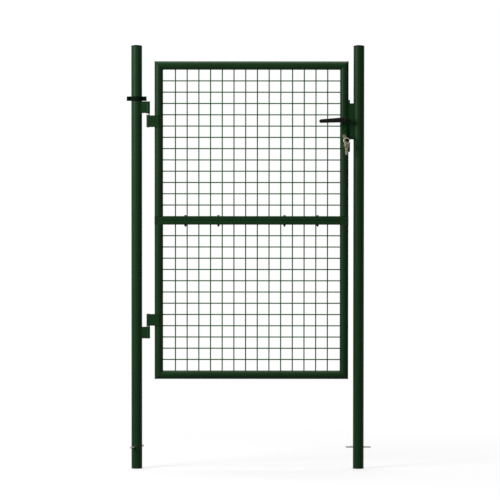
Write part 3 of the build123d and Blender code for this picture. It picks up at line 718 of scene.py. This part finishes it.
def layWelds(name, body, paths, bead):
    seam = growPiece(name, baseMesh(name, paths), weldNodes, {
        "Bead Width": bead["width"], "Bead Height": bead["height"], "Ripple Pitch": seamRun["pitch"],
        "Unevenness": seamRun["unevenness"], "Seed": bead["seed"], "Material": weldGreen}, seamRun["crease"])
    place(seam, body, "green_powder_coat")


def straight(start, end):
    start, end = Vector(start), Vector(end)
    count = max(1, ceil((end - start).length / seamRun["step"]))
    return [start.lerp(end, i / count) for i in range(count + 1)]


def upright(node, x, y, begin=0.0, share=1.0, inset=0.0):
    # an upright seam along a node, over a share of its height
    low, high = boxOf(node)
    span = high.z - low.z
    return straight((x, y, low.z + begin * span + inset), (x, y, low.z + (begin + share) * span - inset))


mitreBead = {"width": 3.0 * mm, "height": 1.1 * mm, "seed": 4, "lift": 0.1 * mm, "steps": 48}


def mitrePath(x, z, leanX, leanZ):
    # the seam of two round tubes that meet at a mitre, once round
    turns = [2 * pi * i / mitreBead["steps"] for i in range(mitreBead["steps"] + 1)]
    reach = tubeRadius + mitreBead["lift"]
    return [(x + leanX * reach * cos(turn), reach * sin(turn), z + leanZ * reach * cos(turn))
            for turn in turns]


layWelds("mitreWelds", "leaf", [
    mitrePath(hingeStileX, topRailZ, -1, 1), mitrePath(latchStileX, topRailZ, 1, 1),
    mitrePath(hingeStileX, bottomRailZ, -1, -1), mitrePath(latchStileX, bottomRailZ, 1, -1)], mitreBead)

# each stile stands on its meeting rail: a seam front and back where the round tube meets the flat
footBead = {"width": 3.4 * mm, "height": 2.2 * mm, "seed": 9, "sink": 0.2 * mm}
meetHalf = (meetHigh.y - meetLow.y) / 2
chord = sqrt(tubeRadius ** 2 - meetHalf ** 2)
footY = meetHalf - footBead["sink"]
layWelds("stileFootWelds", "leaf", [
    straight((x - chord, side * footY, z), (x + chord, side * footY, z))
    for x in (hingeStileX, latchStileX) for z in (meetHigh.z, meetLow.z) for side in (-1, 1)], footBead)

# each post plate has a seam on either face, each leaf plate one down its edge and one across each end
postPlateBead = {"width": 3.6 * mm, "height": 3.0 * mm, "seed": 2, "fromMiddle": 2.0 * mm, "lift": 0.3 * mm,
                 "inset": 1 * mm}
leafPlateBead = {"width": 3.2 * mm, "height": 2.6 * mm, "seed": 3, "past": 0.5 * mm, "lift": 0.4 * mm,
                 "inset": 1 * mm, "endInset": 1.2 * mm, "endLength": 9 * mm, "endLift": 0.2 * mm}
postLow, postHigh = boxOf("hinge_post")
postRadius = (postHigh.x - postLow.x) / 2
hingePinLow, hingePinHigh = boxOf("upper_hinge_pin")
hingeY = (hingePinLow.y + hingePinHigh.y) / 2
postSeams, leafSeams = [], []
for node in ("upper_hinge_post_plate", "lower_hinge_post_plate"):
    for y in (hingeY - postPlateBead["fromMiddle"], hingeY + postPlateBead["fromMiddle"]):
        postSeams.append(upright(node, sqrt(postRadius ** 2 - y ** 2) + postPlateBead["lift"], y,
                                 inset=postPlateBead["inset"]))
for node in ("upper_hinge_leaf_plate", "lower_hinge_leaf_plate"):
    low, high = boxOf(node)
    leafSeams.append(upright(node, high.x + leafPlateBead["past"], -tubeRadius - leafPlateBead["lift"],
                             inset=leafPlateBead["inset"]))
    for z in (low.z + leafPlateBead["endInset"], high.z - leafPlateBead["endInset"]):
        leafSeams.append(straight((high.x - leafPlateBead["endLength"], -tubeRadius, z),
                                  (high.x, -tubeRadius - leafPlateBead["endLift"], z)))
layWelds("postHingeWelds", "posts", postSeams, postPlateBead)
layWelds("leafHingeWelds", "leaf", leafSeams, leafPlateBead)
print("welds laid")

hingeEdge = {"plate": 0.7 * mm, "pin": 0.8 * mm, "ring": 0.3 * mm}
soften("posts", "green_powder_coat", green, hingeEdge["plate"], "upper_hinge_post_plate",
       "lower_hinge_post_plate")
soften("leaf", "green_powder_coat", green, hingeEdge["plate"], "upper_hinge_leaf_plate",
       "lower_hinge_leaf_plate")
soften("posts", "zinc_plated_steel", zinc, hingeEdge["pin"], "upper_hinge_pin", "lower_hinge_pin")
soften("posts", "zinc_plated_steel", zinc, hingeEdge["ring"], "upper_hinge_spacer", "lower_hinge_washer")

clampEdge = {"strap": 0.5 * mm}
soften("posts", "black_coated_steel", clampBlack, clampEdge["strap"], "clamp_front", "clamp_rear")

# root is the shank under its thread, point the chamfer at its end, ridge the wire that lays the thread
bolt = {"root": 2.8 * mm, "pointRadius": 2.4 * mm, "point": 0.5 * mm, "sides": 24, "acrossFlats": 10.0 * mm,
        "headHeight": 4.0 * mm, "nutHeight": 5.0 * mm, "nutTurn": 12, "chamfer": 0.7 * mm, "hexSides": 24,
        "cornerTurn": 0.985, "threadPitch": 1.0 * mm, "threadLength": 14 * mm, "ridge": 0.42 * mm,
        "ridgeSteps": 24, "ridgeSides": 4, "spacing": 20 * mm}


def addHex(bm, z0, z1):
    # a hexagon head or nut with its corners turned off at both ends
    half, edge = bolt["acrossFlats"] / 2, bolt["chamfer"]
    corner, cornered = half / cos(pi / 6), half * bolt["cornerTurn"]
    rows = []
    for radius, z in ((cornered, z0), (corner, z0 + edge), (corner, z1 - edge), (cornered, z1)):
        ring = []
        for i in range(bolt["hexSides"]):
            turn = 2 * pi * i / bolt["hexSides"]
            reach = min(half / cos((turn % (pi / 3)) - pi / 6), radius)
            ring.append(bm.verts.new((reach * cos(turn), reach * sin(turn), z)))
        rows.append(ring)
    joinRows(bm, rows)
    bm.faces.new(list(reversed(rows[0])))
    bm.faces.new(rows[-1])


def shankProfile(length):
    return [(0, 0), (bolt["pointRadius"], 0), (bolt["root"], bolt["point"]), (bolt["root"], length)]


def threadPiece(length, material):
    return growPiece("thread", bpy.data.meshes.new("thread"), coilNodes, {
        "Turns": length / bolt["threadPitch"], "Coil Radius": bolt["root"], "Rise": length,
        "Wire Radius": bolt["ridge"], "Steps": bolt["ridgeSteps"], "Sides": bolt["ridgeSides"],
        "Material": material})


def repeatFastener(node, source, spots, turn, material, body):
    name = pieceName(node)
    row = growPiece(name, baseMesh(name, [[spot] for spot in spots]), rowNodes,
                    {"Fastener": source, "Turn": turn, "Material": material})
    bpy.data.objects.remove(source)
    place(row, body, "zinc_plated_steel", node)


def joiningBolt(length):
    # one bolt about the origin, its axis up Z
    bm = bmesh.new()
    under = length - bolt["headHeight"]
    addHex(bm, under, length)
    lathe(bm, shankProfile(under) + [(0, under)], (0, 0, 0), (0, 0, 1), bolt["sides"])
    shank = fromBmesh("boltBody", bm, weldGreen)
    return joinPieces("boltSource", [shank, threadPiece(bolt["threadLength"], weldGreen)], weldGreen)


def joiningNut():
    bm = bmesh.new()
    addHex(bm, 0, bolt["nutHeight"])
    return fromBmesh("nutSource", bm, weldGreen)


def centresAlongX(node):
    # the middle of each fastener of a node, from the gaps between the node's own points
    spots = sorted(v.co.x for v in nodes[node].data.vertices)
    groups, current = [], [spots[0]]
    for x in spots[1:]:
        if x - current[-1] > bolt["spacing"]:
            groups.append(current)
            current = []
        current.append(x)
    groups.append(current)
    return [(g[0] + g[-1]) / 2 for g in groups]


boltLow, boltHigh = boxOf("joining_bolts")
nutZ = boxOf("joining_nuts")[0].z
boltXs = centresAlongX("joining_bolts")
repeatFastener("joining_bolts", joiningBolt(boltHigh.z - boltLow.z), [(x, 0, boltLow.z) for x in boltXs],
               (0, 0, 0), weldGreen, "leaf")
repeatFastener("joining_nuts", joiningNut(), [(x, 0, nutZ) for x in boltXs],
               (0, 0, radians(bolt["nutTurn"])), weldGreen, "leaf")

clampBolt = {"headHeight": 3.3 * mm, "headRadius": 5.0 * mm, "headSteps": 8, "ears": 8.0 * mm,
             "threadIntoNut": 1 * mm, "sides": 32}
clampBoltLow, clampBoltHigh = boxOf("clamp_bolts")


def buildClampBolt(length):
    # cup head behind, nut and a stub of thread in front; the axis runs up Z before it is turned
    bm = bmesh.new()
    crown, wide = clampBolt["headHeight"], clampBolt["headRadius"]
    cup = (wide ** 2 + crown ** 2) / (2 * crown)
    turns = [asin(wide / cup) * (1 - i / clampBolt["headSteps"]) for i in range(1, clampBolt["headSteps"])]
    profile = shankProfile(length - crown) + [(wide, length - crown)]
    profile += [(cup * sin(turn), length - cup * (1 - cos(turn))) for turn in turns] + [(0, length)]
    lathe(bm, profile, (0, 0, 0), (0, 0, 1), clampBolt["sides"])
    stub = length - crown - clampBolt["ears"] - bolt["nutHeight"]
    addHex(bm, stub, stub + bolt["nutHeight"])
    body = fromBmesh("clampBoltBody", bm, clampBlack)
    thread = threadPiece(stub + clampBolt["threadIntoNut"], clampBlack)
    return joinPieces("clampBoltSource", [body, thread], clampBlack)


clampZ = (clampBoltLow.z + clampBoltHigh.z) / 2
repeatFastener("clamp_bolts", buildClampBolt(clampBoltHigh.y - clampBoltLow.y),
               [(x, clampBoltLow.y, clampZ) for x in centresAlongX("clamp_bolts")],
               (-pi / 2, 0, 0), clampBlack, "posts")
print("hinges, clamp and bolts built")

lockEdge = {"pressed": 0.5 * mm, "plate": 0.4 * mm, "cylinder": 0.35 * mm, "plug": 0.25 * mm,
            "latch": 0.4 * mm, "bolt": 0.5 * mm, "key": 0.3 * mm, "strike": 0.7 * mm}
# painted shade: the saddle and both backplates take the darker lacquer, for the shade beside the forend and
# under the levers
soften("leaf", "green_powder_coat", plateDarkPaintedShade, lockEdge["pressed"], "lock_saddle")
soften("leaf", "black_coated_steel", leverBlack, lockEdge["pressed"], "forend")
soften("leaf", "black_coated_steel", plateDarkPaintedShade, lockEdge["plate"], "front_backplate", "rear_backplate")
for node, body, width in (
        ("cylinder", "leaf", "cylinder"), ("cylinder_plug", "key_and_plug", "plug"),
        ("latch_bolt", "latch", "latch"), ("dead_bolt", "bolt", "bolt"), ("key", "key_and_plug", "key"),
        ("spare_key_left", "spare_left", "key"), ("spare_key_right", "spare_right", "key")):
    soften(body, "nickel_plated_brass", nickel, lockEdge[width], node)
soften("posts", "green_powder_coat", green, lockEdge["strike"], "strike_plate")
# what the lock hides, and its small screws, keep the solids' own shape
coat(zinc, "lock_case", "cylinder_screw", "spindle", "follower")
coat(leverBlack, "forend_screws")
coat(nickel, "cylinder_cam")
# the backplate screws carry the same painted shade as their plates
coat(plateDarkPaintedShade, "backplate_screws")

lever = {"edge": 4.2 * mm, "edgeSteps": 6, "edgeFold": 50, "rootRadius": 11 * mm, "tipRadius": 8 * mm,
         "endSteps": 20, "grip": 11.5 * mm, "neck": 9.0 * mm, "neckSides": 48, "neckSink": 6 * mm,
         "waist": 7.6 * mm, "waistAt": 0.45, "flare": 5.0 * mm, "flareSteps": 5, "flareWidth": 1.9 * mm,
         "intoGrip": 0.4}
collar = {"radius": 10.6 * mm, "height": 2.2 * mm, "foot": 0.2 * mm, "edge": 0.5 * mm, "slope": 1 * mm}


def buildLever(node, plateNode, facing):
    # facing is -1 for the front lever: the hull of two circles, crowned, on a flared round neck
    low, high = boxOf(node)
    plateLow, plateHigh = boxOf(plateNode)
    name = pieceName(node)
    root, tip = lever["rootRadius"], lever["tipRadius"]
    axisX, axisZ = high.x - root, high.z - root
    tipX, tipZ = low.x + tip, low.z + tip
    run = Vector((tipX - axisX, tipZ - axisZ))
    lean = atan2(run.y, run.x)
    spread = asin((root - tip) / run.length)
    outline = []
    for centreX, centreZ, radius, start, end in (
            (tipX, tipZ, tip, lean - pi / 2 + spread, lean + pi / 2 - spread),
            (axisX, axisZ, root, lean + pi / 2 - spread, lean + 3 * pi / 2 + spread)):
        for i in range(lever["endSteps"] + 1):
            turn = start + (end - start) * i / lever["endSteps"]
            outline.append((centreX + radius * cos(turn), centreZ + radius * sin(turn)))
    farY = low.y if facing < 0 else high.y
    nearY = farY - facing * lever["grip"]
    bm = bmesh.new()
    far = [bm.verts.new((x, farY, z)) for x, z in outline]
    near = [bm.verts.new((x, nearY, z)) for x, z in outline]
    bm.faces.new(far)
    bm.faces.new(list(reversed(near)))
    for i in range(len(far)):
        j = (i + 1) % len(far)
        bm.faces.new((far[i], near[i], near[j], far[j]))
    bmesh.ops.remove_doubles(bm, verts=bm.verts, dist=edgeRule["drawnGap"])
    grip = fromBmesh(name + "Grip", bm, leverBlack)
    roundEdges(grip, lever["edge"], lever["edgeSteps"], lever["edgeFold"])
    # the neck is turned about the spindle: sunk in the backplate, collared, waisted, and flared into the grip
    plateY = plateLow.y if facing < 0 else plateHigh.y
    length = abs(nearY - plateY)
    inside = length + abs(farY - nearY) * lever["intoGrip"]
    profile = [(0, -lever["neckSink"]), (lever["neck"], -lever["neckSink"]), (lever["neck"], collar["foot"]),
               (collar["radius"] - collar["edge"], collar["foot"]),
               (collar["radius"], collar["foot"] + collar["edge"]), (collar["radius"], collar["height"]),
               (lever["neck"], collar["height"] + collar["slope"]),
               (lever["waist"], length * lever["waistAt"])]
    for i in range(lever["flareSteps"] + 1):
        share = i / lever["flareSteps"]
        profile.append((lever["waist"] + lever["flareWidth"] * share ** 2,
                        length - lever["flare"] + lever["flare"] * share))
    profile += [(profile[-1][0], inside), (0, inside)]
    bm = bmesh.new()
    lathe(bm, profile, (axisX, plateY, axisZ), (0, facing, 0), lever["neckSides"])
    neck = fromBmesh(name + "Neck", bm, leverBlack)
    place(joinPieces(name, [grip, neck], leverBlack), "handles", "black_coated_steel", node)


buildLever("front_lever", "front_backplate", -1)
buildLever("rear_lever", "rear_backplate", 1)

ring = {"wire": 1.1 * mm, "turns": 1.95, "steps": 160, "sides": 12}


def buildSplitRing():
    # hardened wire wound twice, its turns lying side by side
    low, high = boxOf("key_ring")
    centre = (low + high) / 2
    radius = (high.x - low.x) / 2 - ring["wire"]
    width = high.y - low.y
    coil = growPiece(pieceName("key_ring"), bpy.data.meshes.new("wire"), coilNodes, {
        "Turns": ring["turns"], "Coil Radius": radius, "Rise": width - 2 * ring["wire"],
        "Wire Radius": ring["wire"], "Steps": ring["steps"], "Sides": ring["sides"], "Material": springWire})
    stand = Matrix.Rotation(pi / 2, 4, "X")
    coil.data.transform(Matrix.Translation((centre.x, high.y - ring["wire"], centre.z)) @ stand)
    place(coil, "ring", "bright_steel", "key_ring")


buildSplitRing()

# the strike and the saddle are tacked on with short runs down both of their edges
strikeBead = {"width": 3.4 * mm, "height": 2.6 * mm, "seed": 6, "starts": (0.04, 0.42, 0.80), "share": 0.16,
              "lift": 0.2 * mm, "thick": 3 * mm}
saddleBead = {"width": 3.0 * mm, "height": 2.2 * mm, "seed": 7, "starts": (0.02, 0.3, 0.58, 0.86),
              "share": 0.12, "lift": 0.3 * mm}
strikeY = boxOf("strike_plate")[0].y
latchPostLow, latchPostHigh = boxOf("latch_post")
latchPostX = (latchPostLow.x + latchPostHigh.x) / 2
layWelds("strikeWelds", "posts", [
    upright("strike_plate", latchPostX - sqrt(postRadius ** 2 - y ** 2) - strikeBead["lift"], y, start,
            strikeBead["share"])
    for y in (strikeY, strikeY + strikeBead["thick"]) for start in strikeBead["starts"]], strikeBead)
saddleLow, saddleHigh = boxOf("lock_saddle")
layWelds("saddleWelds", "leaf", [
    upright("lock_saddle", latchStileX + sqrt(tubeRadius ** 2 - y ** 2) + saddleBead["lift"], y, start,
            saddleBead["share"])
    for y in (saddleLow.y, saddleHigh.y) for start in saddleBead["starts"]], saddleBead)
print("lock built")

# imageScale is how much of the image, 500 wide, a metre at the gate takes
view = {"distance": 14.0, "pitch": 1.9, "azimuth": 0.0, "roll": 0.04, "imageScale": 225.33,
        "imageWidth": 500, "sensor": 36, "farClip": 200, "aimLeft": 6.5 * mm, "aimHeight": 0.9715}
gateMiddle = Vector(((leafLeft + leafRight) / 2 - view["aimLeft"], 0, view["aimHeight"]))

# strengths of light: 1 is white; shadows are kept from shadowNear inwards and fade out by shadowFar
studio = {"pale": "#FFFFFF", "floorGrey": 0.02, "floorPaint": 0.58, "shadowShare": 0.45, "shadowNear": 0.7,
          "shadowFar": 2.4, "roomLight": 0.06, "floorHalf": 60.0, "floorDrop": 0.2 * mm}


def paleShare(tree):
    # the eye, mirrored rays and rays through a clear body all meet the pale studio
    rays = addNode(tree, "ShaderNodeLightPath").outputs
    mirrored = addNode(tree, "ShaderNodeMath", greater,
                       {0: rays["Is Glossy Ray"], 1: rays["Is Transmission Ray"]}, "Value")
    return addNode(tree, "ShaderNodeMath", greater, {0: rays["Is Camera Ray"], 1: mirrored}, "Value")


def buildFloor():
    # painted board for the light that falls on the gate, and a pale glow with a share of shadow for the eye
    material, tree = newMaterial("paleFloor")
    glow = addNode(tree, "ShaderNodeEmission", None,
                   {"Color": linear(studio["pale"]), "Strength": 1.0}, "Emission")
    spot = addNode(tree, "ShaderNodeTexCoord", output="Object")
    offset = addNode(tree, "ShaderNodeVectorMath", subtract,
                     {0: spot, 1: (gateMiddle.x, gateMiddle.y, 0)}, "Vector")
    distance = addNode(tree, "ShaderNodeVectorMath", {"operation": "LENGTH"}, {"Vector": offset}, "Value")
    glowShare = addNode(tree, "ShaderNodeMapRange", {"interpolation_type": "SMOOTHSTEP"}, {
        "Value": distance, "From Min": studio["shadowNear"], "From Max": studio["shadowFar"],
        "To Min": 1 - studio["shadowShare"], "To Max": 1.0}, "Result")
    paint, plain = (addNode(tree, "ShaderNodeBsdfDiffuse", None, {"Color": (level, level, level, 1)}, "BSDF")
                    for level in (studio["floorPaint"], studio["floorGrey"]))
    pale = addNode(tree, "ShaderNodeMixShader", None, {"Fac": glowShare, 1: paint, 2: glow}, "Shader")
    mixed = addNode(tree, "ShaderNodeMixShader", None, {"Fac": paleShare(tree), 1: plain, 2: pale}, "Shader")
    addNode(tree, "ShaderNodeOutputMaterial", None, {"Surface": mixed})
    half = studio["floorHalf"]
    bm = bmesh.new()
    bm.faces.new([bm.verts.new((x * half, y * half, 0)) for x, y in ((-1, -1), (1, -1), (1, 1), (-1, 1))])
    floor = fromBmesh("paleFloor", bm, material)
    floor.data.transform(Matrix.Translation((0, 0, -studio["floorDrop"])))


def buildWorld():
    world = bpy.data.worlds.new("paleStudio")
    bpy.context.scene.world = world
    world.use_nodes = True
    tree = world.node_tree
    tree.nodes.clear()
    strength = addNode(tree, "ShaderNodeMapRange", None,
                       {"Value": paleShare(tree), "To Min": studio["roomLight"], "To Max": 1.0}, "Result")
    glow = addNode(tree, "ShaderNodeBackground", None,
                   {"Color": linear(studio["pale"]), "Strength": strength}, "Background")
    addNode(tree, "ShaderNodeOutputWorld", None, {"Surface": glow})


def aimAt(item, target):
    item.rotation_euler = (Vector(target) - item.location).to_track_quat("-Z", "Y").to_euler()


def addLamp(name, kind, location, target):
    lamp = bpy.data.lights.new(name, kind)
    item = bpy.data.objects.new(name, lamp)
    item.location = location
    bpy.context.scene.collection.objects.link(item)
    aimAt(item, target)
    return lamp


lamps = {"keyDistance": 4.0, "keyAzimuth": 54, "keyHeight": 2.6, "keyAim": 0.8, "keyPower": 215,
         "keyWidth": 1.6, "keyTall": 1.6, "topLevel": 1.35, "topAngle": 70, "topTilt": 12, "topDistance": 4}


def buildLights():
    turn, tilt = radians(lamps["keyAzimuth"]), radians(lamps["topTilt"])
    spot = gateMiddle + Vector((-lamps["keyDistance"] * sin(turn), -lamps["keyDistance"] * cos(turn), 0))
    spot.z = lamps["keyHeight"]
    key = addLamp("keySoftbox", "AREA", spot, gateMiddle + Vector((0, 0, lamps["keyAim"])))
    key.shape = "RECTANGLE"
    key.size, key.size_y = lamps["keyWidth"], lamps["keyTall"]
    key.energy = lamps["keyPower"]
    spot = gateMiddle + lamps["topDistance"] * Vector((0, sin(tilt), cos(tilt)))
    top = addLamp("overheadSoftLight", "SUN", spot, gateMiddle)
    top.energy = lamps["topLevel"] * pi  # a level of 1 shows a white sheet facing it as white
    top.angle = radians(lamps["topAngle"])


def buildCamera():
    camera = bpy.data.cameras.new("catalogueCamera")
    camera.sensor_width = view["sensor"]
    camera.lens = view["distance"] * view["imageScale"] * view["sensor"] / view["imageWidth"]
    camera.clip_end = view["farClip"]
    item = bpy.data.objects.new("catalogueCamera", camera)
    pitch, turn = radians(view["pitch"]), radians(view["azimuth"])
    away = Vector((cos(pitch) * sin(turn), -cos(pitch) * cos(turn), sin(pitch)))
    item.location = gateMiddle + view["distance"] * away
    bpy.context.scene.collection.objects.link(item)
    aimAt(item, gateMiddle)
    roll = Matrix.Rotation(radians(view["roll"]), 3, "Z")
    item.rotation_euler = (item.rotation_euler.to_matrix() @ roll).to_euler()
    bpy.context.scene.camera = item


buildFloor()
buildWorld()
buildLights()
buildCamera()
bpy.context.scene.view_settings.view_transform = "Standard"
print("studio ready")
